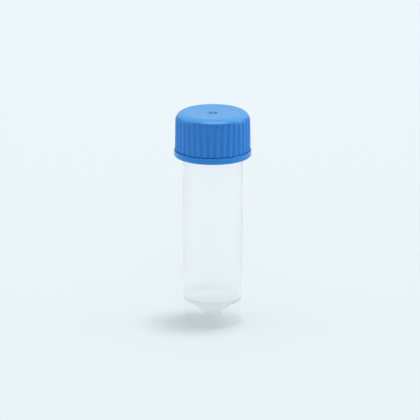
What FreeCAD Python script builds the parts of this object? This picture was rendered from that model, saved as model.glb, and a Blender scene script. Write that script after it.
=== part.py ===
"""A self-standing screw-cap sample vial: moulded tube, ribbed screw cap and sealing washer.

Millimetres, +Z up. The origin is the centre of the ring that the vial stands on, and the
cap is screwed down tight. Each piece is one closed solid.
"""

import FreeCAD
import Part
import math
import os

OUT_DIR = "parts"

# Vial barrel and skirt: (radius) and (height above the table)
FOOT_R = 7.65
BARREL_R = 7.95
BARREL_TAPER_TOP_Z = 28.0
BARREL_TOP_Z = 45.5
SKIRT_INNER_FOOT_R = 6.98
SKIRT_INNER_TOP_R = 6.90
FOOT_ROUND = 0.20

# Conical floor, hung inside the skirt, with a blunt moulding stub at its tip
CONE_SLOPE = math.tan(math.radians(37.0))
STUB_Z = 1.55
STUB_END_R = 2.00
STUB_R = 2.20
STUB_TOP_Z = 2.67
BORE_FLOOR_R = 6.75
BORE_FLOOR_Z = 7.50
WELL_R = 0.90
WELL_DROP = 0.15

# Neck and mouth
NECK_R = 7.70
NECK_STEP = 0.25
MOUTH_R = 6.95
MOUTH_Z = 55.4
RIM_ROUND = 0.22

# Cap
CAP_TOP_Z = 57.95
TOP_DISH = 0.40
CAP_BOTTOM_Z = 45.95
CAP_CEILING_Z = 56.4
CAP_BORE_R = 8.65
CAP_LEAD_IN = 0.30
SHOULDER_R = 9.94
SHOULDER_ROUND = 2.36
FLANGE_R = 10.27
FLANGE_TOP_Z = 47.65
FLANGE_TOP_ROUND = 0.15
FLANGE_BOTTOM_ROUND = 0.45
GROOVE_R = 9.70
GROOVE_HEIGHT = 0.22

# Grip ribs round the cap
RIB_COUNT = 36
RIB_DEPTH = 0.34
RIB_CREST_TOP_R = 9.92
RIB_CREST_BOTTOM_R = 10.06
RIB_TURN = math.radians(-2.3)

# Gate mark in the middle of the cap's top: a shallow dish with a pip standing in it
GATE_R = 1.35
GATE_DEPTH = 0.35
GATE_WALL_SLOPE = 0.12
PIP_FOOT_R = 0.50
PIP_TOP_R = 0.16
PIP_RISE = 0.15
PIP_ROOTED = 0.10

# Plug ring inside the cap, which keeps the washer central
PLUG_R = 6.75
PLUG_WALL = 0.90
PLUG_BOTTOM_Z = 54.4
PLUG_ROUND = 0.30

# Sealing washer, between the cap's ceiling and the vial's rim
WASHER_INNER_R = 6.85
WASHER_OUTER_R = 8.50

# Screw thread, right-handed, one start
THREAD_PITCH = 3.0
THREAD_ROOT_WIDTH = 1.50
THREAD_CREST_WIDTH = 0.50
THREAD_ROOTED = 0.20
SECTIONS_PER_TURN = 24
RUN_OUT_TURNS = 0.09
RUN_OUT_HEIGHT = 0.12
VIAL_THREAD_CREST_R = 8.50
VIAL_THREAD_START_Z = 48.6
VIAL_THREAD_TURNS = 1.65
CAP_THREAD_CREST_R = 7.90
CAP_THREAD_BELOW = 1.10
CAP_THREAD_TURNS = 1.50


def on_section(radius, height):
    """A point of a section drawn in the XZ plane."""
    return FreeCAD.Vector(radius, 0.0, height)


def round_corner(before, corner, after, radius):
    """The two tangent points of a rounded corner, and the arc between them."""
    back = (before - corner).normalize()
    ahead = (after - corner).normalize()
    half_angle = math.acos(max(-1.0, min(1.0, back.dot(ahead)))) / 2.0
    reach = radius / math.tan(half_angle)
    bisector = (back + ahead).normalize()
    centre = corner + bisector * (radius / math.sin(half_angle))
    start = corner + back * reach
    end = corner + ahead * reach
    return start, end, Part.Arc(start, centre - bisector * radius, end).toShape()


def section_wire(corners):
    """A closed wire in the XZ plane through corners of (radius, height, rounding)."""
    points = [on_section(radius, height) for radius, height, _ in corners]
    starts, ends, arcs = [], [], []
    for index, (_, _, rounding) in enumerate(corners):
        corner = points[index]
        if rounding:
            after = points[(index + 1) % len(points)]
            start, end, arc = round_corner(points[index - 1], corner, after, rounding)
        else:
            start, end, arc = corner, corner, None
        starts.append(start)
        ends.append(end)
        arcs.append(arc)
    edges = []
    for index, arc in enumerate(arcs):
        if arc:
            edges.append(arc)
        edges.append(Part.makeLine(ends[index], starts[(index + 1) % len(points)]))
    return Part.Wire(edges)


def turned(wire):
    """The solid made by turning a closed XZ section all the way round the Z axis."""
    return Part.Face(wire).revolve(on_section(0.0, 0.0), FreeCAD.Vector(0, 0, 1), 360)


def ridge_section(angle, height, root_r, crest_r, rise):
    """One cross-section of a thread ridge: rise is 1 at full height and less in a run-out."""
    rooted_r = root_r - math.copysign(THREAD_ROOTED, crest_r - root_r)
    reach_r = root_r + (crest_r - root_r) * rise
    flank = (THREAD_ROOT_WIDTH - THREAD_CREST_WIDTH) / 2.0
    rooted_flank = flank * THREAD_ROOTED / abs(crest_r - root_r)
    root_half = THREAD_ROOT_WIDTH / 2.0 + rooted_flank
    crest_half = THREAD_ROOT_WIDTH / 2.0 - flank * rise
    outline = [
        (rooted_r, height - root_half),
        (reach_r, height - crest_half),
        (reach_r, height + crest_half),
        (rooted_r, height + root_half),
    ]
    points = [
        FreeCAD.Vector(radius * math.cos(angle), radius * math.sin(angle), level)
        for radius, level in outline
    ]
    return Part.makePolygon(points + points[:1])


def thread_ridge(start_z, turns, root_r, crest_r):
    """A helical ridge that fades out over a short run at each end."""
    count = round(turns * SECTIONS_PER_TURN)
    sections = []
    for index in range(count + 1):
        along = turns * index / count
        from_end = min(along, turns - along) / RUN_OUT_TURNS
        fade = math.sin(min(from_end, 1.0) * math.pi / 2.0)
        rise = RUN_OUT_HEIGHT + (1.0 - RUN_OUT_HEIGHT) * fade
        angle = 2.0 * math.pi * along
        sections.append(
            ridge_section(angle, start_z + THREAD_PITCH * along, root_r, crest_r, rise)
        )
    return Part.makeLoft(sections, True, False)


def vial_body():
    """The tube: neck, barrel, skirt and the conical floor inside it, moulded as one."""
    skirt_top_z = STUB_TOP_Z + (SKIRT_INNER_TOP_R - STUB_R) * CONE_SLOPE
    well_z = BORE_FLOOR_Z - (BORE_FLOOR_R - WELL_R) * CONE_SLOPE
    tube = turned(
        section_wire(
            [
                (FOOT_R, 0.0, FOOT_ROUND),
                (BARREL_R, BARREL_TAPER_TOP_Z, 0.0),
                (BARREL_R, BARREL_TOP_Z, 0.0),
                (NECK_R, BARREL_TOP_Z + NECK_STEP, 0.0),
                (NECK_R, MOUTH_Z, RIM_ROUND),
                (MOUTH_R, MOUTH_Z, RIM_ROUND),
                (BORE_FLOOR_R, BORE_FLOOR_Z, 0.8),
                (WELL_R, well_z, 0.5),
                (0.0, well_z - WELL_DROP, 0.0),
                (0.0, STUB_Z, 0.0),
                (STUB_END_R, STUB_Z, 0.3),
                (STUB_R, STUB_TOP_Z, 0.3),
                (SKIRT_INNER_TOP_R, skirt_top_z, 0.4),
                (SKIRT_INNER_FOOT_R, 0.0, FOOT_ROUND),
            ]
        )
    )
    ridge = thread_ridge(VIAL_THREAD_START_Z, VIAL_THREAD_TURNS, NECK_R, VIAL_THREAD_CREST_R)
    return tube.fuse(ridge)


def rib_wire(crest_r, height):
    """The wavy outline of the grip ribs at one height, as tangent crest and valley arcs."""
    step = 2.0 * math.pi / RIB_COUNT
    middle_r = crest_r - RIB_DEPTH / 2.0

    def at(radius, angle):
        return FreeCAD.Vector(radius * math.cos(angle), radius * math.sin(angle), height)

    arcs = []
    for rib in range(RIB_COUNT):
        crest = RIB_TURN + rib * step
        rise = at(middle_r, crest - step / 4.0)
        fall = at(middle_r, crest + step / 4.0)
        valley = at(crest_r - RIB_DEPTH, crest + step / 2.0)
        next_rise = at(middle_r, crest + 3.0 * step / 4.0)
        arcs.append(Part.Arc(rise, at(crest_r, crest), fall).toShape())
        arcs.append(Part.Arc(fall, valley, next_rise).toShape())
    return Part.Wire(arcs)


def crown_height(radius):
    """Height of the cap's slightly hollow top at a radius inside its rounded shoulder."""
    rim_r = SHOULDER_R - SHOULDER_ROUND
    sphere_r = (rim_r**2 + TOP_DISH**2) / (2.0 * TOP_DISH)
    return CAP_TOP_Z - TOP_DISH + sphere_r - math.sqrt(sphere_r**2 - radius**2)


def cap_envelope():
    """The round blank that the ribs are cut from: hollow top, rounded shoulder and sides."""
    rim_r = SHOULDER_R - SHOULDER_ROUND
    shoulder_z = CAP_TOP_Z - SHOULDER_ROUND
    diagonal = SHOULDER_ROUND * math.sqrt(0.5)
    side_r = RIB_CREST_BOTTOM_R + 0.1
    shoulder = Part.Arc(
        on_section(SHOULDER_R, shoulder_z),
        on_section(rim_r + diagonal, shoulder_z + diagonal),
        on_section(rim_r, CAP_TOP_Z),
    )
    top = Part.Arc(
        on_section(rim_r, CAP_TOP_Z),
        on_section(rim_r / 2.0, crown_height(rim_r / 2.0)),
        on_section(0.0, crown_height(0.0)),
    )
    edges = [
        shoulder.toShape(),
        top.toShape(),
        Part.makeLine(on_section(0.0, crown_height(0.0)), on_section(0.0, CAP_BOTTOM_Z)),
        Part.makeLine(on_section(0.0, CAP_BOTTOM_Z), on_section(side_r, CAP_BOTTOM_Z)),
        Part.makeLine(on_section(side_r, CAP_BOTTOM_Z), on_section(SHOULDER_R, shoulder_z)),
    ]
    return turned(Part.Wire(edges))


def cap_flange():
    """The smooth flange at the cap's lower edge and the narrow groove above it."""
    return turned(
        section_wire(
            [
                (0.0, CAP_BOTTOM_Z, 0.0),
                (FLANGE_R, CAP_BOTTOM_Z, FLANGE_BOTTOM_ROUND),
                (FLANGE_R, FLANGE_TOP_Z, FLANGE_TOP_ROUND),
                (GROOVE_R, FLANGE_TOP_Z, 0.0),
                (GROOVE_R, FLANGE_TOP_Z + GROOVE_HEIGHT, 0.0),
                (0.0, FLANGE_TOP_Z + GROOVE_HEIGHT, 0.0),
            ]
        )
    )


def cap_hollow():
    """The space inside the cap, round the plug ring."""
    ceiling_end_r = PLUG_R - PLUG_WALL
    return turned(
        section_wire(
            [
                (0.0, CAP_BOTTOM_Z - 1.0, 0.0),
                (CAP_BORE_R + CAP_LEAD_IN + 1.0, CAP_BOTTOM_Z - 1.0, 0.0),
                (CAP_BORE_R, CAP_BOTTOM_Z + CAP_LEAD_IN, 0.0),
                (CAP_BORE_R, CAP_CEILING_Z, 0.0),
                (PLUG_R, CAP_CEILING_Z, 0.0),
                (PLUG_R, PLUG_BOTTOM_Z, PLUG_ROUND),
                (ceiling_end_r, PLUG_BOTTOM_Z, PLUG_ROUND),
                (ceiling_end_r, CAP_CEILING_Z, PLUG_ROUND),
                (0.0, CAP_CEILING_Z, 0.0),
            ]
        )
    )


def gate_dish():
    """What is cut from the cap's top round the gate: a shallow round dish."""
    rim_z = crown_height(GATE_R)
    floor_z = rim_z - GATE_DEPTH
    return turned(
        section_wire(
            [
                (0.0, CAP_TOP_Z + 1.0, 0.0),
                (0.0, floor_z, 0.0),
                (GATE_R - GATE_WALL_SLOPE, floor_z, 0.0),
                (GATE_R, rim_z, 0.0),
                (GATE_R, CAP_TOP_Z + 1.0, 0.0),
            ]
        )
    )


def gate_pip():
    """The blunt pip that the gate leaves in its dish, lower than the cap's rim."""
    rim_z = crown_height(GATE_R)
    floor_z = rim_z - GATE_DEPTH
    pip_z = rim_z + PIP_RISE
    return turned(
        section_wire(
            [
                (0.0, floor_z - PIP_ROOTED, 0.0),
                (PIP_FOOT_R, floor_z - PIP_ROOTED, 0.0),
                (PIP_FOOT_R, floor_z, 0.0),
                (PIP_TOP_R, pip_z, 0.0),
                (0.0, pip_z, 0.0),
            ]
        )
    )


def screw_cap():
    """The cap: crown, 36 grip ribs, flange, plug ring and inner thread, moulded as one."""
    rib_bottom_z = FLANGE_TOP_Z + GROOVE_HEIGHT
    ribs = Part.makeLoft(
        [rib_wire(RIB_CREST_BOTTOM_R, rib_bottom_z), rib_wire(RIB_CREST_TOP_R, CAP_TOP_Z)],
        True,
        True,
    )
    shell = ribs.common(cap_envelope()).fuse(cap_flange())
    shell = shell.cut([cap_hollow(), gate_dish()])
    start_z = VIAL_THREAD_START_Z - CAP_THREAD_BELOW
    ridge = thread_ridge(start_z, CAP_THREAD_TURNS, CAP_BORE_R, CAP_THREAD_CREST_R)
    return shell.fuse([gate_pip(), ridge])


def sealing_washer():
    """The soft ring that seals the cap against the vial's rim."""
    return turned(
        section_wire(
            [
                (WASHER_INNER_R, MOUTH_Z, 0.0),
                (WASHER_OUTER_R, MOUTH_Z, 0.0),
                (WASHER_OUTER_R, CAP_CEILING_Z, 0.0),
                (WASHER_INNER_R, CAP_CEILING_Z, 0.0),
            ]
        )
    )


def main():
    """Builds each piece and writes it as one STEP file."""
    os.makedirs(OUT_DIR, exist_ok=True)
    for build in (vial_body, screw_cap, sealing_washer):
        shape = build()
        solids = shape.Solids
        print(
            build.__name__,
            "solids", len(solids),
            "valid", shape.isValid(),
            "mm3", round(shape.Volume, 1),
            "box", shape.BoundBox,
        )
        solids[0].exportStep(os.path.join(OUT_DIR, build.__name__ + ".step"))


main()
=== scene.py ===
"""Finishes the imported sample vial: a milky tube, a ribbed blue cap and a soft seal.

It also lays out the pale studio that they stand in. Sizes of the pieces are millimetres, heights
are above the table, and meshes are made in metres.
"""

import logging
import math
from collections.abc import Mapping, Sequence
from dataclasses import dataclass, replace
from enum import Enum
from typing import ClassVar

import bpy
import numpy as np
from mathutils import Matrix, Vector


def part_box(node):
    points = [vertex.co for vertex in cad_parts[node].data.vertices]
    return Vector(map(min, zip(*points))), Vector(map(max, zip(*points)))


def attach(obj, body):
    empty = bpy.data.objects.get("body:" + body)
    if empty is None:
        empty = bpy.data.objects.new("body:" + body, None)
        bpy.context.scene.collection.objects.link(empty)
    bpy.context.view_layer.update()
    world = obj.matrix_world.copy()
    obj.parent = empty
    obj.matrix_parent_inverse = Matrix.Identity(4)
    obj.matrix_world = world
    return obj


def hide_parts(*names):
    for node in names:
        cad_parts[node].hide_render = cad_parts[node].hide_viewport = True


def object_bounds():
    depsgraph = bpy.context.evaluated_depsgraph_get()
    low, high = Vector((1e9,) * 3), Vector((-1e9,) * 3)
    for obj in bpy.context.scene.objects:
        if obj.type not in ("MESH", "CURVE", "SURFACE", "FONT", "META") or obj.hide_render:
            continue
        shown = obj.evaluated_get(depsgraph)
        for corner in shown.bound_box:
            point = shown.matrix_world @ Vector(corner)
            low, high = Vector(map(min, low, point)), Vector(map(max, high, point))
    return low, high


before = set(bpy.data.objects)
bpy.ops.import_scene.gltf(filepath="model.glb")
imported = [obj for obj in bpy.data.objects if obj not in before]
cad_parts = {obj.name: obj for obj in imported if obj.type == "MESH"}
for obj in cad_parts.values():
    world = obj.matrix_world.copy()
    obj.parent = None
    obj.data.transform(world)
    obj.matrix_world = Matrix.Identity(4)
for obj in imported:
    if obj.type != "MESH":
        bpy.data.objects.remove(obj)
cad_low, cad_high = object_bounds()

MM = 0.001
FULL_TURN = 2.0 * math.pi

Colour = tuple[float, float, float, float]
Feed = bpy.types.NodeSocket | float | tuple[float, ...]

WHITE: Colour = (1.0, 1.0, 1.0, 1.0)

log = logging.getLogger("sample_vial")


class Relief(Enum):
    """What is raised on or cut into a stretch of a turned outline."""

    NONE = "none"
    THREAD = "thread"
    RIBS = "ribs"


class Zone(Enum):
    """Which of a piece's finishes a stretch of its outline wears, by slot number."""

    MAIN = 0
    FLOOR = 1
    FOOT = 2
    BEND = 3


class Body(Enum):
    """The bodies that the pieces ride on."""

    VIAL = "vial"
    WASHER = "washer"
    CAP = "cap"


class Slot(Enum):
    """The names of the pieces' material slots."""

    TUBE = "translucent_polypropylene"
    CAP = "blue_polypropylene"
    SEAL = "clear_silicone"


@dataclass(frozen=True)
class Corner:
    """A corner of an outline.

    Attributes:
        radius: Distance from the axis.
        height: Height above the table.
        rounding: Radius of the rounded corner, or 0 for a sharp one.
        step: Longest piece of the line that leaves this corner.
        relief: What the line that leaves this corner carries.
        zone: The finish of the line that leaves this corner.
    """

    radius: float
    height: float
    rounding: float = 0.0
    step: float = 2.5
    relief: Relief = Relief.NONE
    zone: Zone = Zone.MAIN


@dataclass(frozen=True)
class Station:
    """One point of a finished outline, which becomes one ring of the mesh.

    Attributes:
        radius: Distance from the axis.
        height: Height above the table.
        relief: What the ring carries.
        zone: The finish from this ring to the next.
    """

    radius: float
    height: float
    relief: Relief
    zone: Zone


@dataclass(frozen=True)
class Outline:
    """Turns corners into the stations of a rounded outline.

    Attributes:
        corners: The corners, in order, with the solid on their left.
        closed: Whether the last corner joins the first.
        arc_pieces: Pieces in each rounded corner.
        support: How far beside a rounded corner a supporting ring lies, in roundings.
    """

    corners: Sequence[Corner]
    closed: bool = False
    arc_pieces: int = 5
    support: float = 0.35

    def _bend(self, index: int) -> list[np.ndarray]:
        """Gives the points that stand for one corner.

        Args:
            index: The corner's place in the outline.

        Returns:
            The corner itself, or its rounded arc with a supporting point at each side.
        """
        corner = self.corners[index]
        at = np.array((corner.radius, corner.height))
        ends = not self.closed and index in (0, len(self.corners) - 1)
        if ends or not corner.rounding:
            return [at]
        before = self.corners[index - 1]
        after = self.corners[(index + 1) % len(self.corners)]
        back = np.array((before.radius, before.height)) - at
        ahead = np.array((after.radius, after.height)) - at
        back /= np.linalg.norm(back)
        ahead /= np.linalg.norm(ahead)
        half = math.acos(float(np.clip(back @ ahead, -1.0, 1.0))) / 2.0
        reach = corner.rounding / math.tan(half)
        inward = (back + ahead) / np.linalg.norm(back + ahead)
        centre = at + inward * corner.rounding / math.sin(half)
        first = at + back * reach - centre
        last = at + ahead * reach - centre
        sweep = math.pi - 2.0 * half
        arc = [
            centre
            + (math.sin(sweep * (1.0 - share)) * first + math.sin(sweep * share) * last)
            / math.sin(sweep)
            for share in np.linspace(0.0, 1.0, self.arc_pieces + 1)
        ]
        beside = corner.rounding * self.support
        return [arc[0] + back * beside, *arc, arc[-1] + ahead * beside]

    def stations(self) -> list[Station]:
        """Rounds the corners and divides the long lines.

        Returns:
            Every station of the outline, in the order of its corners.
        """
        bends = [self._bend(index) for index in range(len(self.corners))]
        found: list[Station] = []
        for index, bend in enumerate(bends):
            corner = self.corners[index]
            before = self.corners[index - 1].relief if index else Relief.NONE
            own = corner.relief if before is corner.relief else Relief.NONE
            found += [Station(float(p[0]), float(p[1]), own, corner.zone) for p in bend]
            if index + 1 == len(bends) and not self.closed:
                break
            start, end = bend[-1], bends[(index + 1) % len(bends)][0]
            pieces = max(1, math.ceil(float(np.linalg.norm(end - start)) / corner.step))
            for piece in range(1, pieces):
                at = start + (end - start) * piece / pieces
                found.append(Station(float(at[0]), float(at[1]), corner.relief, corner.zone))
        return found


@dataclass(frozen=True)
class Thread:
    """A right-handed one-start screw thread, as a ridge on a round wall.

    Attributes:
        start: Height of the ridge's middle at its lower end.
        turns: How many turns it makes.
        depth: How far it stands out of the wall: negative for a ridge inside a bore.
        pitch: Rise in one turn.
        root_width: Width where it leaves the wall.
        crest_width: Width of its flat crest.
        run_out: Share of a turn over which each end rises.
        soft: How much of the flank is rounded off, as a share of its width.
    """

    start: float
    turns: float
    depth: float
    pitch: float = 3.0
    root_width: float = 1.5
    crest_width: float = 0.5
    run_out: float = 0.09
    soft: float = 0.35

    @property
    def low(self) -> float:
        """Height below which the wall is plain."""
        return self.start - self.root_width / 2.0

    @property
    def high(self) -> float:
        """Height above which the wall is plain."""
        return self.start + self.pitch * self.turns + self.root_width / 2.0

    def raised(self, angles: np.ndarray, height: float) -> np.ndarray:
        """Gives how far the ridge stands out round one ring.

        Args:
            angles: Angles round the axis, from 0 to a full turn.
            height: The ring's height.

        Returns:
            One distance for each angle, with the sign of the thread's depth.
        """
        tallest = np.zeros_like(angles)
        for lap in range(math.ceil(self.turns)):
            along = lap + angles / FULL_TURN
            off = np.abs(height - self.start - self.pitch * along)
            flank = (self.root_width - self.crest_width) / 2.0
            share = np.clip((self.root_width / 2.0 - off) / flank, 0.0, 1.0)
            eased = share * share * (3.0 - 2.0 * share)
            share = share + (eased - share) * self.soft
            ends = np.clip(np.minimum(along, self.turns - along) / self.run_out, 0.0, 1.0)
            tallest = np.maximum(tallest, share * np.sin(ends * math.pi / 2.0))
        return tallest * self.depth


@dataclass(frozen=True)
class Ribs:
    """The grip ribs round the cap: rounded crests with rounded valleys between them.

    The valleys run straight up and end where they come out of the rounded shoulder.

    Attributes:
        count: How many ribs there are.
        depth: From crest to valley.
        foot: Radius of the crests at the lower end.
        foot_height: Height of that end.
        head: Radius of the crests at the cap's top.
        head_height: Height of the cap's top.
        blend: Distance over which a valley's end is rounded into the shoulder.
        turned: Angle of the first crest.
    """

    count: int
    depth: float
    foot: float
    foot_height: float
    head: float
    head_height: float
    blend: float
    turned: float

    def cut(self, angles: np.ndarray, radius: float, height: float) -> np.ndarray:
        """Gives the radius round one ring once the valleys are cut.

        Args:
            angles: Angles round the axis.
            radius: The ring's radius before that.
            height: The ring's height.

        Returns:
            One radius for each angle.
        """
        wave = 0.5 - 0.5 * np.cos((angles - self.turned) * self.count)
        share = (height - self.foot_height) / (self.head_height - self.foot_height)
        grooved = self.foot + (self.head - self.foot) * share - self.depth * wave
        over = np.clip(0.5 + 0.5 * (grooved - radius) / self.blend, 0.0, 1.0)
        return grooved + (radius - grooved) * over - self.blend * over * (1.0 - over)


@dataclass(frozen=True)
class TurnedPiece:
    """A closed mesh made by turning an outline about the vial's axis.

    Attributes:
        name: The piece's name.
        outline: The outline that is turned.
        segments: Faces in each ring.
        thread: The thread on the stretches that carry one.
        ribs: The ribs on the stretches that carry them.
    """

    name: str
    outline: Outline
    segments: int
    thread: Thread | None = None
    ribs: Ribs | None = None

    def _ring(self, station: Station, angles: np.ndarray) -> np.ndarray:
        """Gives the shape of one ring.

        Args:
            station: The station that the ring belongs to.
            angles: Angles round the axis.

        Returns:
            One radius for each angle.
        """
        if station.relief is Relief.THREAD and self.thread:
            return station.radius + self.thread.raised(angles, station.height)
        if station.relief is Relief.RIBS and self.ribs:
            return self.ribs.cut(angles, station.radius, station.height)
        return np.full_like(angles, station.radius)

    def build(self) -> bpy.types.Object:
        """Builds the mesh and puts it in the scene.

        Returns:
            The new object, at the origin.
        """
        angles = np.arange(self.segments) * FULL_TURN / self.segments
        stations = self.outline.stations()
        points: list[tuple[float, float, float]] = []
        rings: list[list[int]] = []
        for station in stations:
            first = len(points)
            if station.radius == 0.0:
                points.append((0.0, 0.0, station.height * MM))
                rings.append([first] * self.segments)
                continue
            radii = self._ring(station, angles) * MM
            level = np.full_like(radii, station.height * MM)
            ring = np.stack([radii * np.cos(angles), radii * np.sin(angles), level], axis=1)
            points += [tuple(map(float, point)) for point in ring]
            rings.append(list(range(first, len(points))))
        mesh = bpy.data.meshes.new(self.name)
        mesh.from_pydata(points, [], self._faces(rings))
        bands = len(mesh.polygons) // self.segments
        slots = [station.zone.value for station in stations[:bands]]
        mesh.polygons.foreach_set("material_index", np.repeat(slots, self.segments))
        mesh.validate()
        mesh.shade_smooth()
        piece = bpy.data.objects.new(self.name, mesh)
        bpy.context.scene.collection.objects.link(piece)
        return piece

    def _faces(self, rings: Sequence[Sequence[int]]) -> list[tuple[int, ...]]:
        """Joins neighbouring rings with quads, and with triangles at the axis.

        Args:
            rings: The points of each ring.

        Returns:
            The points of each face.
        """
        pairs = list(zip(rings, rings[1:]))
        if self.outline.closed:
            pairs.append((rings[-1], rings[0]))
        faces: list[tuple[int, ...]] = []
        for one, two in pairs:
            for at in range(self.segments):
                after = (at + 1) % self.segments
                quad = (one[at], one[after], two[after], two[at])
                faces.append(tuple(dict.fromkeys(quad)))
        return faces


class Wiring:
    """Adds and joins the nodes of one node tree."""

    def __init__(self, tree: bpy.types.NodeTree) -> None:
        """Keeps the tree that the nodes go in."""
        self.tree = tree

    def add(
        self, kind: str, feeds: Mapping[str | int, Feed] | None = None, **settings: object
    ) -> bpy.types.Node:
        """Adds a node.

        Args:
            kind: The node's type.
            feeds: What goes into its inputs: another node's output, or a plain value.
            settings: The node's own settings.

        Returns:
            The new node.
        """
        node = self.tree.nodes.new(kind)
        for name, value in settings.items():
            setattr(node, name, value)
        for name, feed in (feeds or {}).items():
            if isinstance(feed, bpy.types.NodeSocket):
                self.tree.links.new(feed, node.inputs[name])
            else:
                node.inputs[name].default_value = feed
        return node

    def calc(self, operation: str, *feeds: Feed) -> bpy.types.NodeSocket:
        """Adds a Math node and gives its result."""
        return self.add("ShaderNodeMath", dict(enumerate(feeds)), operation=operation).outputs[0]

    def ramp(
        self, value: Feed, start: float, end: float, top: float = 1.0
    ) -> bpy.types.NodeSocket:
        """Rises from 0, where a value is at the start, to the top, where it is at the end."""
        feeds = {"Value": value, "From Min": start, "From Max": end, "To Max": top}
        return self.add("ShaderNodeMapRange", feeds).outputs[0]

    def noise(
        self, place: Feed, scale: Feed, detail: float, rough: float
    ) -> bpy.types.NodeSocket:
        """Adds a noise pattern and gives its value."""
        feeds = {"Vector": place, "Scale": scale, "Detail": detail, "Roughness": rough}
        return self.add("ShaderNodeTexNoise", feeds).outputs["Fac"]

    def vector(self, operation: str, *values: Feed) -> bpy.types.NodeOutputs:
        """Adds a Vector Math node and gives its outputs."""
        feeds = dict(enumerate(values))
        return self.add("ShaderNodeVectorMath", feeds, operation=operation).outputs

    def radius(self, place: Feed) -> bpy.types.NodeSocket:
        """Gives a place's distance from the vial's axis."""
        flat = self.vector("MULTIPLY", place, (1.0, 1.0, 0.0))["Vector"]
        return self.vector("LENGTH", flat)["Value"]

    def blend(self, share: Feed, one: Feed, two: Feed) -> bpy.types.NodeSocket:
        """Mixes two colours: a Mix node takes them in sockets 6 and 7, and gives one in 2."""
        return self.add("ShaderNodeMix", {0: share, 6: one, 7: two}, data_type="RGBA").outputs[2]

    def mixed(self, share: Feed, one: bpy.types.Node, two: bpy.types.Node) -> bpy.types.Node:
        """Mixes two shaders."""
        feeds = {0: share, 1: one.outputs[0], 2: two.outputs[0]}
        return self.add("ShaderNodeMixShader", feeds)

    def join(self, shader: bpy.types.Node, output: bpy.types.Node) -> None:
        """Sends a shader to an output node."""
        self.tree.links.new(shader.outputs[0], output.inputs[0])


@dataclass(frozen=True)
class Marks:
    """How much of each effect of the moulded skin a finish shows.

    Attributes:
        cloud_scale: Clouds in a metre.
        flow_stretch: The same along the axis, as a share of that across it.
        rubbing: How much the roughness varies.
        waviness: Height of the surface's slow waves, as a share of the bump.
        grain: Height of its fine grain, as a share of the bump.
        strength: Strength of the bump.
        reach: Height of the bump.
    """

    cloud_scale: float
    flow_stretch: float
    rubbing: float
    waviness: float = 0.5
    grain: float = 0.2
    strength: float = 0.3
    reach: float = 0.02


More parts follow.
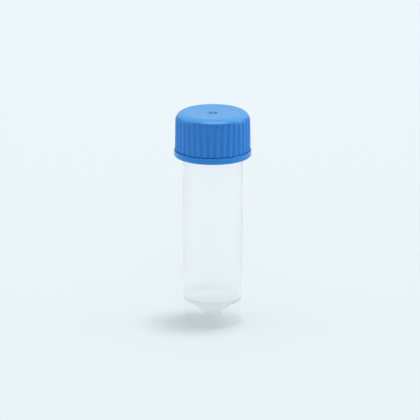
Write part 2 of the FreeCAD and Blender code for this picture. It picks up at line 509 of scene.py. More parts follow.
class MouldedSkin:
    """The node group that every finish shares: the unevenness of a moulded surface.

    Its inputs set how coarse and how strong each effect is. Its outputs are the cloudiness left
    by the melt's flow, a roughness that varies with fine rubbing, and a height for a bump.

    Attributes:
        NAME: The group's name.
        INPUTS: Its inputs, each with the value that it starts with.
        OUTPUTS: Its outputs.
        CLOUDS: Detail and roughness of the clouds.
        RUBS: Detail and roughness of the rubbing.
        GRAINS: Detail and roughness of the grain.
        RUB_SCALE: How much finer than the clouds the rubbing is.
        MIDDLE: The value that a pattern varies about.
    """

    NAME: ClassVar[str] = "moulded skin"
    INPUTS: ClassVar[Mapping[str, float]] = {
        "Cloud Scale": 180.0,
        "Flow Stretch": 0.35,
        "Grain Scale": 6000.0,
        "Roughness": 0.35,
        "Rubbing": 0.1,
        "Waviness": 0.5,
        "Grain": 0.2,
    }
    OUTPUTS: ClassVar[tuple[str, ...]] = ("Cloud", "Roughness", "Height")
    CLOUDS: ClassVar[tuple[float, float]] = (4.0, 0.55)
    RUBS: ClassVar[tuple[float, float]] = (3.0, 0.6)
    GRAINS: ClassVar[tuple[float, float]] = (1.0, 0.5)
    RUB_SCALE: ClassVar[float] = 7.0
    MIDDLE: ClassVar[float] = 0.5

    def __init__(self) -> None:
        """Builds the group's sockets and nodes."""
        self.tree = bpy.data.node_groups.new(self.NAME, "ShaderNodeTree")
        for name, start in self.INPUTS.items():
            self._socket(name, "INPUT").default_value = start
        for name in self.OUTPUTS:
            self._socket(name, "OUTPUT")
        self._wire()

    def _socket(self, name: str, way: str) -> bpy.types.NodeTreeInterfaceSocket:
        """Adds a number to the group's inputs or outputs."""
        return self.tree.interface.new_socket(name, in_out=way, socket_type="NodeSocketFloat")

    def _wire(self) -> None:
        """Joins the patterns to the group's outputs."""
        wiring = Wiring(self.tree)
        given = wiring.add("NodeGroupInput").outputs
        place = wiring.add("ShaderNodeTexCoord").outputs["Object"]
        parts = wiring.add("ShaderNodeSeparateXYZ", {"Vector": place}).outputs
        lengthwise = wiring.calc("MULTIPLY", parts["Z"], given["Flow Stretch"])
        along = wiring.add(
            "ShaderNodeCombineXYZ", {"X": parts["X"], "Y": parts["Y"], "Z": lengthwise}
        ).outputs[0]
        cloud = wiring.noise(along, given["Cloud Scale"], *self.CLOUDS)
        fine_scale = wiring.calc("MULTIPLY", given["Cloud Scale"], self.RUB_SCALE)
        rubbed = wiring.noise(place, fine_scale, *self.RUBS)
        grain = wiring.noise(place, given["Grain Scale"], *self.GRAINS)
        uneven = wiring.calc("SUBTRACT", rubbed, self.MIDDLE)
        spread = wiring.calc("MULTIPLY", uneven, given["Rubbing"])
        rough = wiring.calc("ADD", given["Roughness"], spread)
        waves = wiring.calc("MULTIPLY", cloud, given["Waviness"])
        specks = wiring.calc("MULTIPLY", grain, given["Grain"])
        height = wiring.calc("ADD", waves, specks)
        wiring.add("NodeGroupOutput", {"Cloud": cloud, "Roughness": rough, "Height": height})

    def placed(
        self, wiring: Wiring, marks: Marks, roughness: float
    ) -> tuple[bpy.types.NodeOutputs, bpy.types.NodeSocket]:
        """Places the group in a material, with a bump after it.

        Args:
            wiring: The material's wiring.
            marks: How much of each effect shows.
            roughness: The roughness where the surface is even.

        Returns:
            The group's outputs, and the normal of the bump.
        """
        feeds = {
            "Cloud Scale": marks.cloud_scale,
            "Flow Stretch": marks.flow_stretch,
            "Roughness": roughness,
            "Rubbing": marks.rubbing,
            "Waviness": marks.waviness,
            "Grain": marks.grain,
        }
        shown = wiring.add("ShaderNodeGroup", feeds, node_tree=self.tree).outputs
        bumps = {
            "Strength": marks.strength,
            "Distance": marks.reach * MM,
            "Height": shown["Height"],
        }
        return shown, wiring.add("ShaderNodeBump", bumps).outputs[0]


def empty_material(name: str) -> tuple[bpy.types.Material, Wiring, bpy.types.Node]:
    """Makes a material with no shader yet.

    Args:
        name: The material's name.

    Returns:
        The material, its wiring and its output node.
    """
    material = bpy.data.materials.new(name)
    material.use_nodes = True
    material.node_tree.nodes.clear()
    wiring = Wiring(material.node_tree)
    return material, wiring, wiring.add("ShaderNodeOutputMaterial")


@dataclass(frozen=True)
class MilkyPlastic:
    """Natural polypropylene: it lets light through, blurred by its haze and clouded by its flow.

    Attributes:
        name: The material's name.
        colour: Colour where the melt is even.
        cloudy: Colour where it is cloudier.
        painted_shade: Darker colour of a thick wall where light goes into it, a painted shade, or
            None for a thin one.
        clear: Share of the light that goes through rather than being scattered back.
        shade: Share of a lamp's light that each surface lets past.
        roughness: Roughness of the moulded surface.
        index: Index of refraction.
        marks: How uneven the surface is.
    """

    name: str = "milky polypropylene"
    colour: Colour = (0.986, 0.986, 0.990, 1.0)
    cloudy: Colour = (0.998, 0.998, 0.999, 1.0)
    painted_shade: Colour | None = None
    clear: float = 0.975
    shade: Colour = (0.966, 0.970, 0.971, 1.0)
    roughness: float = 0.31
    index: float = 1.10
    marks: Marks = Marks(
        cloud_scale=170.0,
        flow_stretch=0.3,
        rubbing=0.03,
        waviness=0.02,
        grain=0.02,
        strength=0.2,
        reach=0.05,
    )

    def material(self, skin: MouldedSkin) -> bpy.types.Material:
        """Builds the material.

        Args:
            skin: The shared moulded skin.

        Returns:
            The finished material.
        """
        material, wiring, output = empty_material(self.name)
        shown, bump = skin.placed(wiring, self.marks, self.roughness)
        colour = wiring.blend(shown["Cloud"], self.colour, self.cloudy)
        if self.painted_shade:
            # Painted shade: faces seen from inside the solid take the darker shaded colour.
            leaving = wiring.add("ShaderNodeNewGeometry").outputs["Backfacing"]
            colour = wiring.blend(leaving, self.painted_shade, colour)
        plastic = wiring.add(
            "ShaderNodeBsdfPrincipled",
            {
                "Base Color": colour,
                "Roughness": shown["Roughness"],
                "IOR": self.index,
                "Transmission Weight": self.clear,
                "Normal": bump,
            },
        )
        past = wiring.add("ShaderNodeBsdfTransparent", {"Color": self.shade})
        path = wiring.add("ShaderNodeLightPath").outputs
        bounced = wiring.mixed(path["Is Diffuse Ray"], plastic, past)
        wiring.join(wiring.mixed(path["Is Shadow Ray"], bounced, past), output)
        return material


@dataclass(frozen=True)
class BluePlastic:
    """Blue polypropylene of the cap, satin, with painted shade on its side and gate dish and a
    painted highlight on the rib crests.

    Attributes:
        colour: The blue where the skin is even.
        pale: The blue where the pigment is thinner.
        painted_shade: The darker blue of the ribbed side and the gate mark's dish, a painted
            shade.
        rubbed: The lighter blue of the rib crests and flange, a painted highlight.
        pip_white_and_highlight: The whitish blue of the pip, where the plastic was torn off,
            lightened further as a painted highlight.
        dish: Radius of the gate mark's dish, which gets painted shade.
        dish_floor: Radius of the dish's floor, where that painted shade is whole.
        hollow: Most of the painted shade that shows there.
        pip: Radius at which the pip's blue starts.
        pip_top: Radius at which it is whole.
        rim: Radius at which the painted shade of the side starts.
        crest: Radius at which the painted crest highlight is whole.
        valley: Radius at which the side's painted shade is whole and the painted crest highlight
            starts.
        crest_highlight_share: Most of the painted crest highlight that shows.
        roughness: Roughness of the moulded surface.
        index: Index of refraction.
        marks: How uneven the surface is.
    """

    colour: Colour = (0.072, 0.396, 0.888, 1.0)
    pale: Colour = (0.086, 0.418, 0.912, 1.0)
    painted_shade: Colour = (0.006, 0.189, 0.652, 1.0)
    rubbed: Colour = (0.015, 0.355, 0.860, 1.0)
    pip_white_and_highlight: Colour = (0.180, 0.530, 1.000, 1.0)
    dish: float = 1.36
    dish_floor: float = 1.24
    hollow: float = 0.45
    pip: float = 0.46
    pip_top: float = 0.30
    rim: float = 9.2
    crest: float = 10.05
    valley: float = 9.7
    crest_highlight_share: float = 0.28
    roughness: float = 0.24
    index: float = 1.46
    marks: Marks = Marks(cloud_scale=260.0, flow_stretch=0.8, rubbing=0.14)

    def material(self, skin: MouldedSkin) -> bpy.types.Material:
        """Builds the material.

        Args:
            skin: The shared moulded skin.

        Returns:
            The finished material.
        """
        material, wiring, output = empty_material("blue polypropylene")
        shown, bump = skin.placed(wiring, self.marks, self.roughness)
        even = wiring.blend(shown["Cloud"], self.colour, self.pale)
        place = wiring.add("ShaderNodeTexCoord").outputs["Object"]
        radius = wiring.radius(place)
        # Painted shade: the blue darkens from the shoulder down the side, and partly in the gate
        # mark's dish.
        side_shade_mask = wiring.ramp(radius, self.rim * MM, self.valley * MM)
        dish = wiring.ramp(radius, self.dish * MM, self.dish_floor * MM, self.hollow)
        body = wiring.blend(wiring.calc("MAXIMUM", side_shade_mask, dish), even, self.painted_shade)
        # The pip is whitened where the gate was torn off, and lightened further as a painted
        # highlight.
        torn = wiring.ramp(radius, self.pip * MM, self.pip_top * MM)
        body = wiring.blend(torn, body, self.pip_white_and_highlight)
        # Painted highlight: the rib crests and the flange are lightened towards the crest blue.
        crest_highlight_mask = wiring.ramp(radius, self.valley * MM, self.crest * MM, self.crest_highlight_share)
        plastic = wiring.add(
            "ShaderNodeBsdfPrincipled",
            {
                "Base Color": wiring.blend(crest_highlight_mask, body, self.rubbed),
                "Roughness": shown["Roughness"],
                "IOR": self.index,
                "Normal": bump,
            },
        )
        wiring.join(plastic, output)
        return material


@dataclass(frozen=True)
class SoftSeal:
    """Translucent white silicone of the sealing washer.

    Attributes:
        colour: The silicone's colour.
        dusty: Its colour where dust clings.
        roughness: Roughness of the surface.
        index: Index of refraction.
        soaked: Share of the light that spreads inside it.
        depth: How far that light spreads.
        marks: How uneven the surface is.
    """

    colour: Colour = (0.74, 0.76, 0.74, 1.0)
    dusty: Colour = (0.84, 0.85, 0.83, 1.0)
    roughness: float = 0.45
    index: float = 1.41
    soaked: float = 0.4
    depth: float = 1.0
    marks: Marks = Marks(cloud_scale=500.0, flow_stretch=1.0, rubbing=0.2)

    def material(self, skin: MouldedSkin) -> bpy.types.Material:
        """Builds the material.

        Args:
            skin: The shared moulded skin.

        Returns:
            The finished material.
        """
        material, wiring, output = empty_material("clear silicone")
        shown, bump = skin.placed(wiring, self.marks, self.roughness)
        silicone = wiring.add(
            "ShaderNodeBsdfPrincipled",
            {
                "Base Color": wiring.blend(shown["Cloud"], self.colour, self.dusty),
                "Roughness": shown["Roughness"],
                "IOR": self.index,
                "Subsurface Weight": self.soaked,
                "Subsurface Scale": self.depth * MM,
                "Normal": bump,
            },
        )
        wiring.join(silicone, output)
        return material


@dataclass(frozen=True)
class Seat:
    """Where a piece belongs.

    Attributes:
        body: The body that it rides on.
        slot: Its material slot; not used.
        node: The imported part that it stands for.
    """

    body: Body
    slot: Slot
    node: str

    def fit(self, piece: bpy.types.Object, *materials: bpy.types.Material) -> None:
        """Gives a piece its materials and body, and hides the node it stands for.

        Args:
            piece: The piece, already in place.
            materials: Its finishes, in the order of its faces' slots.
        """
        for material in materials:
            piece.data.materials.append(material)
        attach(piece, self.body.value)
        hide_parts(self.node)
        piece.data.calc_loop_triangles()
        triangles = len(piece.data.loop_triangles)
        log.info("%s: %d triangles on %s", piece.name, triangles, self.body.value)


@dataclass(frozen=True)
class Tube:
    """The vial's body: skirted foot, tapered barrel, threaded neck, bore and conical floor.

    Attributes:
        foot_radius: Outer radius of the standing edge.
        foot_rounding: Its rounding.
        skirt_foot_radius: Inner radius of the standing edge.
        skirt_top_radius: Inner radius of the skirt where it meets the floor.
        skirt_rounding: Rounding there.
        barrel_radius: Radius of the straight part of the barrel.
        taper_top: Height at which the taper ends.
        barrel_top: Height at which the neck starts.
        neck_radius: Radius of the neck between the threads.
        neck_step: Height of the slope from the barrel to the neck.
        neck_rounding: Rounding at both its ends.
        mouth: Height of the rim.
        mouth_radius: Inner radius of the rim.
        rim_rounding: Its rounding.
        bore_floor_radius: Radius of the bore at its lower end.
        bore_floor: Height of that end.
        bore_rounding: Rounding between the bore and the cone.
        bend_top: Height at which the look of that bend starts.
        bend_radius: Radius at which it ends.
        cone_degrees: Slope of the floor.
        well_radius: Radius of the well in the middle of the floor.
        well_rounding: Its rounding.
        well_drop: Its depth.
        stub: Height of the moulding stub's end.
        stub_end_radius: Radius of that end.
        stub_radius: Radius of the stub where it leaves the cone.
        stub_top: Height of that place.
        stub_rounding: Rounding at both ends of the stub.
        ring_low: Height at which the look of the thick ring, with its painted shade, starts.
        ring_high: Height at which it ends.
        segments: Faces in each ring of the mesh.
        thread: The thread on the neck.
        seat: Where the tube belongs.
    """

    foot_radius: float = 7.65
    foot_rounding: float = 0.20
    skirt_foot_radius: float = 6.98
    skirt_top_radius: float = 6.90
    skirt_rounding: float = 0.4
    barrel_radius: float = 7.95
    taper_top: float = 28.0
    barrel_top: float = 45.5
    neck_radius: float = 7.70
    neck_step: float = 0.25
    neck_rounding: float = 0.15
    mouth: float = 55.4
    mouth_radius: float = 6.95
    rim_rounding: float = 0.22
    bore_floor_radius: float = 6.75
    bore_floor: float = 7.50
    bore_rounding: float = 0.8
    bend_top: float = 8.60
    bend_radius: float = 5.60
    cone_degrees: float = 37.0
    well_radius: float = 0.90
    well_rounding: float = 0.5
    well_drop: float = 0.15
    stub: float = 1.55
    stub_end_radius: float = 2.00
    stub_radius: float = 2.20
    stub_top: float = 2.67
    stub_rounding: float = 0.3
    ring_low: float = 6.25
    ring_high: float = 7.45
    segments: int = 240
    thread: Thread = Thread(start=48.6, turns=1.65, depth=0.80)
    seat: Seat = Seat(Body.VIAL, Slot.TUBE, "vial_body")

    def _outside(self, height: float, zone: Zone) -> Corner:
        """Gives a plain point of the tapered outer wall.

        Args:
            height: The point's height.
            zone: The finish above it.

        Returns:
            The point, as a sharp corner.
        """
        share = height / self.taper_top
        radius = self.foot_radius + (self.barrel_radius - self.foot_radius) * share
        return Corner(radius, height, zone=zone)

    def outline(self) -> Outline:
        """Goes from the stub under the floor round to the well in the floor.

        Returns:
            The outline of the whole tube.
        """
        slope = math.tan(math.radians(self.cone_degrees))
        skirt_top = self.stub_top + (self.skirt_top_radius - self.stub_radius) * slope
        bore = self.bore_floor_radius
        well = self.bore_floor - (bore - self.well_radius) * slope
        bend_low = self.bore_floor - (bore - self.bend_radius) * slope
        floor, foot, bend = Zone.FLOOR, Zone.FOOT, Zone.BEND
        stub, skirt, neck = self.stub_rounding, self.skirt_rounding, self.neck_rounding
        return Outline(
            [
                Corner(0.0, self.stub, zone=floor),
                Corner(self.stub_end_radius, self.stub, stub, zone=floor),
                Corner(self.stub_radius, self.stub_top, stub, step=0.7, zone=floor),
                Corner(self.skirt_top_radius, skirt_top, skirt, step=0.8, zone=foot),
                Corner(self.skirt_foot_radius, 0.0, self.foot_rounding, zone=foot),
                Corner(self.foot_radius, 0.0, self.foot_rounding, zone=foot),
                self._outside(self.ring_low, floor),
                self._outside(self.ring_high, Zone.MAIN),
                Corner(self.barrel_radius, self.taper_top),
                Corner(self.barrel_radius, self.barrel_top, neck, step=0.1),
                Corner(self.neck_radius, self.barrel_top + self.neck_step, neck, step=0.4),
                Corner(self.neck_radius, self.thread.low, step=0.1, relief=Relief.THREAD),
                Corner(self.neck_radius, self.thread.high, step=0.3),
                Corner(self.neck_radius, self.mouth, self.rim_rounding, step=0.3),
                Corner(self.mouth_radius, self.mouth, self.rim_rounding),
                Corner(bore, self.bend_top, step=0.4, zone=bend),
                Corner(bore, self.bore_floor, self.bore_rounding, step=0.8, zone=bend),
                Corner(self.bend_radius, bend_low, step=0.8, zone=foot),
                Corner(self.well_radius, well, self.well_rounding, step=0.4, zone=foot),
                Corner(0.0, well - self.well_drop),
            ]
        )

    def build(self, *finishes: bpy.types.Material) -> None:
        """Builds the tube and dresses it.

        Args:
            finishes: Its finishes, in the order of the zones.
        """
        piece = TurnedPiece("vial_tube", self.outline(), self.segments, thread=self.thread)
        self.seat.fit(piece.build(), *finishes)


@dataclass(frozen=True)
class ScrewCap:
    """The cap: gate mark, hollow top, rounded shoulder, ribs, groove, flange, bore and plug.

    Attributes:
        top: Height of the cap's top.
        bottom: Height of its lower edge.
        top_dish: How far the middle of the top lies below its rim.
        gate_radius: Radius of the gate mark.
        gate_depth: Its depth.
        gate_wall_slope: How far its wall leans.
        gate_edge: Rounding of its edge.
        gate_rounding: The other roundings in it.
        pip_foot: Radius of the pip's foot.
        pip_top: Radius of the pip's end.
        pip_rise: How far the pip stands over the top.
        shoulder_radius: Outer radius of the shoulder.
        shoulder_round: Radius of its quarter of a circle.
        shoulder_pieces: Pieces in that quarter.
        crown_pieces: Rings from there to the gate mark.
        rib_count: How many ribs there are.
        rib_top_radius: Radius of their crests at the cap's top.
        rib_bottom_radius: Radius of their crests at the groove.
        rib_depth: From crest to valley.
        rib_blend: Distance over which a valley's end is rounded into the shoulder.
        rib_turn: Degrees of the first crest.
        rib_chamfer: Chamfer of the crests' lower ends.
        rib_blank: How far the blank that the ribs are cut from stands over the crests.
        ribbed_turn: How far up the shoulder's arc the ribs can reach, in radians.
        seam: Height between two rings that must not meet.
        seam_step: Width between them, at the shoulder.
        groove_radius: Radius of the groove over the flange.
        groove_height: Its height.
        groove_rounding: Rounding at its lower side.
        flange_height: Height of the flange.
        flange_foot_rounding: Rounding of its lower edge.
        flange_top_rounding: Rounding of its upper edge.
        bore_radius: Radius of the bore between the threads.
        lead_in: Size of the chamfer at the bore's lower end.
        lead_in_rounding: Rounding of that chamfer's edges.
        ceiling_thickness: Thickness of the top.
        ceiling_rounding: Roundings at the ceiling outside the plug.
        plug_radius: Outer radius of the plug ring.
        plug_wall: Its thickness.
        plug_length: Its length.
        plug_rounding: Roundings of its end, and of the ceiling inside it.
        segments: Faces in each ring of the mesh.
        thread: The thread in the bore.
        seat: Where the cap belongs.
    """

    top: float
    bottom: float
    top_dish: float = 0.40
    gate_radius: float = 1.35
    gate_depth: float = 0.35
    gate_wall_slope: float = 0.12
    gate_edge: float = 0.05
    gate_rounding: float = 0.08
    pip_foot: float = 0.50
    pip_top: float = 0.16
    pip_rise: float = 0.15
    shoulder_radius: float = 9.94
    shoulder_round: float = 2.36
    shoulder_pieces: int = 26
    crown_pieces: int = 8
    rib_count: int = 36
    rib_top_radius: float = 9.92
    rib_bottom_radius: float = 10.06
    rib_depth: float = 0.34
    rib_blend: float = 0.03
    rib_turn: float = -2.3
    rib_chamfer: float = 0.08
    rib_blank: float = 0.1
    ribbed_turn: float = 0.9
    seam: float = 0.01
    seam_step: float = 0.002
    groove_radius: float = 9.70
    groove_height: float = 0.16
    groove_rounding: float = 0.05
    flange_height: float = 1.70
    flange_foot_rounding: float = 0.45
    flange_top_rounding: float = 0.15
    bore_radius: float = 8.65
    lead_in: float = 0.30
    lead_in_rounding: float = 0.06
    ceiling_thickness: float = 1.40
    ceiling_rounding: float = 0.1
    plug_radius: float = 6.75
    plug_wall: float = 0.90
    plug_length: float = 2.0
    plug_rounding: float = 0.3
    segments: int = 396
    thread: Thread = Thread(start=47.5, turns=1.5, depth=-0.75)
    seat: Seat = Seat(Body.CAP, Slot.CAP, "screw_cap")

    def _inside(self) -> list[Corner]:
        """Goes along the ceiling, the plug ring and the bore.

        Returns:
            Their corners, from the axis outwards.
        """
        ceiling = self.top - self.ceiling_thickness
        hollow = self.plug_radius - self.plug_wall
        plug = ceiling - self.plug_length
        lip, angle, chamfer = self.plug_rounding, self.ceiling_rounding, self.lead_in_rounding
        return [
            Corner(0.0, ceiling, step=1.5),
            Corner(hollow, ceiling, lip, step=0.6),
            Corner(hollow, plug, lip),
            Corner(self.plug_radius, plug, lip, step=0.6),
            Corner(self.plug_radius, ceiling, angle, step=0.7),
            Corner(self.bore_radius, ceiling, angle, step=0.8),
            Corner(self.bore_radius, self.thread.high, step=0.1, relief=Relief.THREAD),
            Corner(self.bore_radius, self.thread.low),
            Corner(self.bore_radius, self.bottom + self.lead_in, chamfer),
            Corner(self.bore_radius + self.lead_in, self.bottom, chamfer, step=0.5),
        ]

    def _grip(self, flange_radius: float) -> list[Corner]:
        """Goes up the flange, the groove over it and the ribs.

        Args:
            flange_radius: Radius of the flange.

        Returns:
            Their corners.
        """
        shelf = self.bottom + self.flange_height
        groove_top = shelf + self.groove_height
        shoulder = self.top - self.shoulder_round
        blank = self.rib_bottom_radius + self.rib_blank
        edge = self.rib_bottom_radius - self.rib_chamfer
        ribs = Relief.RIBS
        return [
            Corner(flange_radius, self.bottom, self.flange_foot_rounding),
            Corner(flange_radius, shelf, self.flange_top_rounding),
            Corner(self.groove_radius, shelf, self.groove_rounding),
            Corner(self.groove_radius, groove_top, relief=ribs),
            Corner(edge, groove_top + self.seam, relief=ribs),
            Corner(blank, groove_top + self.rib_chamfer, step=1.2, relief=ribs),
            Corner(self.shoulder_radius + self.seam_step, shoulder - self.seam, relief=ribs),
        ]

    def _shoulder(self) -> list[Corner]:
        """Goes up the shoulder's quarter of a circle and along the top to the gate mark.

        Returns:
            The corners on the way.
        """
        rim = self.shoulder_radius - self.shoulder_round
        centre = self.top - self.shoulder_round
        turns = np.linspace(0.0, math.pi / 2.0, self.shoulder_pieces + 1)[:-1]
        arc = [
            Corner(
                rim + self.shoulder_round * math.cos(turn),
                centre + self.shoulder_round * math.sin(turn),
                relief=Relief.RIBS if turn < self.ribbed_turn else Relief.NONE,
            )
            for turn in map(float, turns)
        ]
        radii = np.linspace(rim, self.gate_radius, self.crown_pieces + 1)[:-1]
        return arc + [Corner(float(radius), self._crown(float(radius))) for radius in radii]

    def _crown(self, radius: float) -> float:
        """Works out the slightly hollow top, which is part of a sphere.

        Args:
            radius: Distance from the axis.

        Returns:
            The height of the top there.
        """
        rim = self.shoulder_radius - self.shoulder_round
        sphere = (rim**2 + self.top_dish**2) / (2.0 * self.top_dish)
        return self.top - self.top_dish + sphere - math.sqrt(sphere**2 - radius**2)

    def _gate(self) -> list[Corner]:
        """Goes through the gate mark, a shallow dish with a pip in its middle.

        Returns:
            Its corners, from its rim to the axis.
        """
        rim = self._crown(self.gate_radius)
        floor = rim - self.gate_depth
        pip = rim + self.pip_rise
        return [
            Corner(self.gate_radius, rim, self.gate_edge),
            Corner(self.gate_radius - self.gate_wall_slope, floor, self.gate_rounding),
            Corner(self.pip_foot, floor, self.gate_rounding, step=0.1),
            Corner(self.pip_top, pip, self.gate_rounding, step=0.1),
            Corner(0.0, pip),
        ]

    def build(self, flange_radius: float, finish: bpy.types.Material) -> None:
        """Builds the cap and dresses it.

        Args:
            flange_radius: Radius of the flange, which is the cap's widest part.
            finish: The cap's finish.
        """
        ribs = Ribs(
            count=self.rib_count,
            depth=self.rib_depth,
            foot=self.rib_bottom_radius,
            foot_height=self.bottom + self.flange_height + self.groove_height,
            head=self.rib_top_radius,
            head_height=self.top,
            blend=self.rib_blend,
            turned=math.radians(self.rib_turn),
        )
        corners = self._inside() + self._grip(flange_radius) + self._shoulder() + self._gate()
        piece = TurnedPiece(
            "ribbed_cap", Outline(corners), self.segments, thread=self.thread, ribs=ribs
        )
        self.seat.fit(piece.build(), finish)


@dataclass(frozen=True)
class SealRing:
    """The soft washer between the cap's ceiling and the vial's rim.

    Attributes:
        low: Height of its lower side.
        high: Height of its upper side.
        outer_radius: Its outer radius.
        hole_radius: Radius of its hole.
        rounding: Rounding of its edges.
        step: Longest piece of its outline.
        segments: Faces in each ring of the mesh.
        seat: Where the ring belongs.
    """

    low: float
    high: float
    outer_radius: float
    hole_radius: float = 6.85
    rounding: float = 0.12
    step: float = 0.5
    segments: int = 192
    seat: Seat = Seat(Body.WASHER, Slot.SEAL, "sealing_washer")

    def build(self, finish: bpy.types.Material) -> None:
        """Builds the ring and dresses it.

        Args:
            finish: The ring's finish.
        """
        hole, rim, low, high = self.hole_radius, self.outer_radius, self.low, self.high
        places = ((hole, low), (rim, low), (rim, high), (hole, high))
        corners = [Corner(*place, self.rounding, self.step) for place in places]
        piece = TurnedPiece("seal_ring", Outline(corners, closed=True), self.segments)
        self.seat.fit(piece.build(), finish)


def direction(way: float, height: float) -> tuple[float, float, float]:
    """Turns two angles into a direction.

    Args:
        way: Degrees round from the right-hand side, towards the back.
        height: Degrees above the table.

    Returns:
        A unit vector.
    """
    turn, rise = math.radians(way), math.radians(height)
    flat = math.cos(rise)
    return (flat * math.cos(turn), flat * math.sin(turn), math.sin(rise))


def in_front(height: float) -> Vector:
    """Gives the direction straight in front of the vial, so many degrees above the table."""
    rise = math.radians(height)
    return Vector((0.0, -math.cos(rise), math.sin(rise)))


def hang(name: str, data: bpy.types.ID, back: Vector) -> bpy.types.Object:
    """Puts a lamp or a camera in the scene.

    Args:
        name: Its name.
        data: Its settings.
        back: The direction that it faces away from.

    Returns:
        The new object, at the origin.
    """
    thing = bpy.data.objects.new(name, data)
    thing.rotation_euler = back.to_track_quat("Z", "Y").to_euler()
    bpy.context.scene.collection.objects.link(thing)
    return thing


@dataclass(frozen=True)
class SoftBox:
    """A soft round light far away.

    Attributes:
        way: Degrees round from the right-hand side, towards the back.
        height: Degrees above the table.
        spread: Half its width, in degrees.
        level: Its brightness.
        core: Share of its width that is at that brightness.
    """

    way: float
    height: float
    spread: float
    level: float
    core: float = 0.6

    def patch(self, wiring: Wiring, way: Feed) -> bpy.types.NodeSocket:
        """Adds the light to the world.

        Args:
            wiring: The world's wiring.
            way: The direction that is looked in.

        Returns:
            Its brightness in that direction.
        """
        near = wiring.vector("DOT_PRODUCT", way, direction(self.way, self.height))["Value"]
        edge = math.cos(math.radians(self.spread))
        whole = math.cos(math.radians(self.spread * self.core))
        return wiring.ramp(near, edge, whole, self.level)


@dataclass(frozen=True)
class Studio:
    """A pale table, soft light and the camera. Lengths here are metres.

    Attributes:
        near: Colour of the table in front of the vial, darker as painted shading.
        far: Colour of the table behind it, and of the backdrop.
        table_size: Width of the table.
        fade: Distance in front of and behind the vial over which the table's painted shading
            changes.
        sky: Brightness of the soft light from the sides.
        sky_rise: How much brighter it is straight overhead.
        sky_lean: How much brighter it is from one side, and darker from the other.
        lean_way: Degrees of the brighter side round from the right-hand side, towards the back.
        key: How bright the lamp overhead makes a white table, where 1 is white.
        key_height: Degrees of the lamp above the table.
        key_way: Degrees of the lamp round from the right-hand side, towards the back.
        key_width: Degrees that the lamp spans.
        boxes: The soft boxes, which make the brighter spots of the light.
        strip_length: Length of the narrow lamp that only leaves its gloss.
        strip_width: Its width.
        strip_power: Its power in watts.
        strip_height: Degrees of it above the table, in front.
        strip_away: Its distance from the cap.
        strip_side: How far to the right its middle is.
        pitch: Degrees that the camera looks down.
        distance: From the camera to what it looks at.
        lens: Focal length, in millimetres.
        sensor: Width of the sensor, in millimetres.
        nearest: The nearest distance that the camera shows.
        farthest: The farthest one.
        aim_side: How far left of the axis the camera looks.
        aim_share: The height that it looks at, as a share of the vial's height.
        NO_BOUNCE: A count of bounces below this is none.
    """

    near: Colour = (0.806, 0.894, 0.914, 1.0)
    far: Colour = (0.855, 0.930, 0.982, 1.0)
    table_size: float = 12.0
    fade: float = 0.35
    sky: float = 0.378
    sky_rise: float = 0.37
    sky_lean: float = 0.12
    lean_way: float = 80.0
    key: float = 0.203
    key_height: float = 83.0
    key_way: float = 27.0
    key_width: float = 11.0
    boxes: tuple[SoftBox, ...] = (
        SoftBox(way=175.0, height=18.0, spread=24.0, level=1.4),
        SoftBox(way=5.0, height=18.0, spread=26.0, level=2.2),
        SoftBox(way=-86.0, height=44.0, spread=14.0, level=1.0),
    )
    strip_length: float = 0.50
    strip_width: float = 0.02
    strip_power: float = 1.05
    strip_height: float = 71.0
    strip_away: float = 0.50
    strip_side: float = 0.06
    pitch: float = 16.0
    distance: float = 1.067
    lens: float = 343.0
    sensor: float = 36.0
    nearest: float = 0.05
    farthest: float = 50.0
    aim_side: float = 0.00073
    aim_share: float = 0.5316
    NO_BOUNCE: ClassVar[float] = 0.5

    def table(self) -> None:
        """Lays the table under the vial."""
        half = self.table_size / 2.0
        mesh = bpy.data.meshes.new("table")
        corners = [(-half, -half, 0.0), (half, -half, 0.0), (half, half, 0.0), (-half, half, 0.0)]
        mesh.from_pydata(corners, [], [(0, 1, 2, 3)])
        table = bpy.data.objects.new("table", mesh)
        bpy.context.scene.collection.objects.link(table)
        material, wiring, output = empty_material("pale table")
        place = wiring.add("ShaderNodeTexCoord").outputs["Object"]
        depth = wiring.add("ShaderNodeSeparateXYZ", {"Vector": place}).outputs["Y"]
        # Painted shading: the table is darker in front of the vial and lighter behind it.
        share = wiring.ramp(depth, -self.fade, self.fade)
        colour = wiring.blend(share, self.near, self.far)
        wiring.join(wiring.add("ShaderNodeBsdfDiffuse", {"Color": colour}), output)
        mesh.materials.append(material)

    def light(self, wiring: Wiring, way: Feed) -> bpy.types.NodeSocket:
        """Makes the soft light from all round, with a soft box at each side and in front.

        Args:
            wiring: The world's wiring.
            way: The direction that is looked in.

        Returns:
            The brightness in that direction.
        """
        side = math.radians(self.lean_way)
        slope = (self.sky_lean * math.cos(side), self.sky_lean * math.sin(side), self.sky_rise)
        lean = wiring.vector("DOT_PRODUCT", way, slope)["Value"]
        total = wiring.calc("MAXIMUM", wiring.calc("ADD", lean, self.sky), 0.0)
        for box in self.boxes:
            total = wiring.calc("ADD", total, box.patch(wiring, way))
        return total

    def world(self) -> None:
        """Makes the soft light, and the plain backdrop that shows in its place."""
        world = bpy.data.worlds.new("soft light")
        world.use_nodes = True
        world.node_tree.nodes.clear()
        wiring = Wiring(world.node_tree)
        output = wiring.add("ShaderNodeOutputWorld")
        way = wiring.add("ShaderNodeTexCoord").outputs["Generated"]
        lit = wiring.add(
            "ShaderNodeBackground", {"Color": WHITE, "Strength": self.light(wiring, way)}
        )
        shown = wiring.add("ShaderNodeBackground", {"Color": self.far, "Strength": 1.0})
        path = wiring.add("ShaderNodeLightPath").outputs
        seen = wiring.calc("MAXIMUM", path["Is Camera Ray"], path["Is Transmission Ray"])
        straight = wiring.calc("LESS_THAN", path["Diffuse Depth"], self.NO_BOUNCE)
        seen = wiring.calc("MULTIPLY", seen, straight)
        wiring.join(wiring.mixed(seen, lit, shown), output)
        bpy.context.scene.world = world

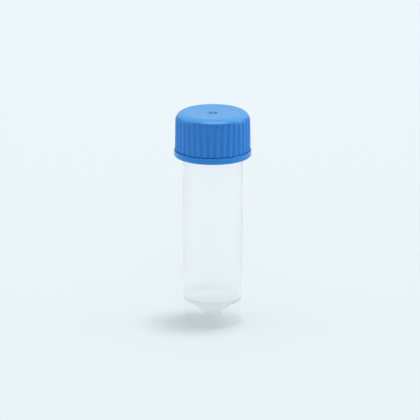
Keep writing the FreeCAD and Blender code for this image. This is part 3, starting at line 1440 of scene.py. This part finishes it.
    def lamp(self) -> None:
        """Hangs the broad soft lamp overhead, which casts the shadow and leaves no glossy spot."""
        data = bpy.data.lights.new("key", "SUN")
        data.energy = self.key * math.pi / math.sin(math.radians(self.key_height))
        data.angle = math.radians(self.key_width)
        lamp = hang("key", data, Vector(direction(self.key_way, self.key_height)))
        lamp.visible_glossy = False

    def strip(self, height: float) -> None:
        """Hangs the long narrow lamp that only leaves its gloss, along the cap's shoulder.

        Args:
            height: The vial's height.
        """
        data = bpy.data.lights.new("strip", "AREA")
        data.shape = "RECTANGLE"
        data.size, data.size_y = self.strip_length, self.strip_width
        data.energy = self.strip_power
        back = in_front(self.strip_height)
        lamp = hang("strip", data, back)
        lamp.location = Vector((self.strip_side, 0.0, height)) + back * self.strip_away
        lamp.visible_camera = lamp.visible_diffuse = lamp.visible_transmission = False

    def camera(self, height: float) -> None:
        """Sets up the camera.

        Args:
            height: The vial's height.
        """
        data = bpy.data.cameras.new("camera")
        data.sensor_width = self.sensor
        data.lens = self.lens
        data.clip_start, data.clip_end = self.nearest, self.farthest
        back = in_front(self.pitch)
        camera = hang("camera", data, back)
        aim = Vector((-self.aim_side, 0.0, self.aim_share * height))
        camera.location = aim + back * self.distance
        bpy.context.scene.camera = camera

    def build(self, height: float) -> None:
        """Builds the whole studio.

        Args:
            height: The vial's height.
        """
        self.table()
        self.world()
        self.lamp()
        self.strip(height)
        self.camera(height)
        bpy.context.scene.view_settings.view_transform = "Standard"


def tube_finishes() -> tuple[MilkyPlastic, ...]:
    """Sets out how the tube's plastic looks.

    Returns:
        One finish for each zone, in the zones' order.
    """
    wall = MilkyPlastic()
    floor = MilkyPlastic(
        name="thick milky polypropylene",
        colour=(0.925, 0.940, 0.925, 1.0),
        cloudy=(0.945, 0.960, 0.945, 1.0),
        # Painted shade on the thick floor's underside, stub and outer ring band.
        painted_shade=(0.715, 0.752, 0.750, 1.0),
        clear=0.95,
        shade=(0.940, 0.950, 0.950, 1.0),
        roughness=0.34,
        index=1.03,
    )
    foot = MilkyPlastic(
        name="polished milky polypropylene",
        clear=0.985,
        shade=(0.930, 0.944, 0.948, 1.0),
        roughness=0.10,
        index=1.0,
    )
    bend = replace(
        foot,
        name="bent milky polypropylene",
        colour=(0.900, 0.918, 0.900, 1.0),
        cloudy=(0.915, 0.930, 0.915, 1.0),
    )
    return wall, floor, foot, bend


def main() -> None:
    """Builds the studio and the three pieces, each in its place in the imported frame."""
    logging.basicConfig(level=logging.INFO, format="%(message)s")
    Studio().build(cad_high.z)
    skin = MouldedSkin()
    Tube().build(*(finish.material(skin) for finish in tube_finishes()))
    cap_low, cap_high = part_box("screw_cap")
    cap = ScrewCap(top=cap_high.z / MM, bottom=cap_low.z / MM)
    cap.build(cap_high.x / MM, BluePlastic().material(skin))
    seal_low, seal_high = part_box("sealing_washer")
    seal = SealRing(low=seal_low.z / MM, high=seal_high.z / MM, outer_radius=seal_high.x / MM)
    seal.build(SoftSeal().material(skin))


if __name__ == "__main__":
    main()
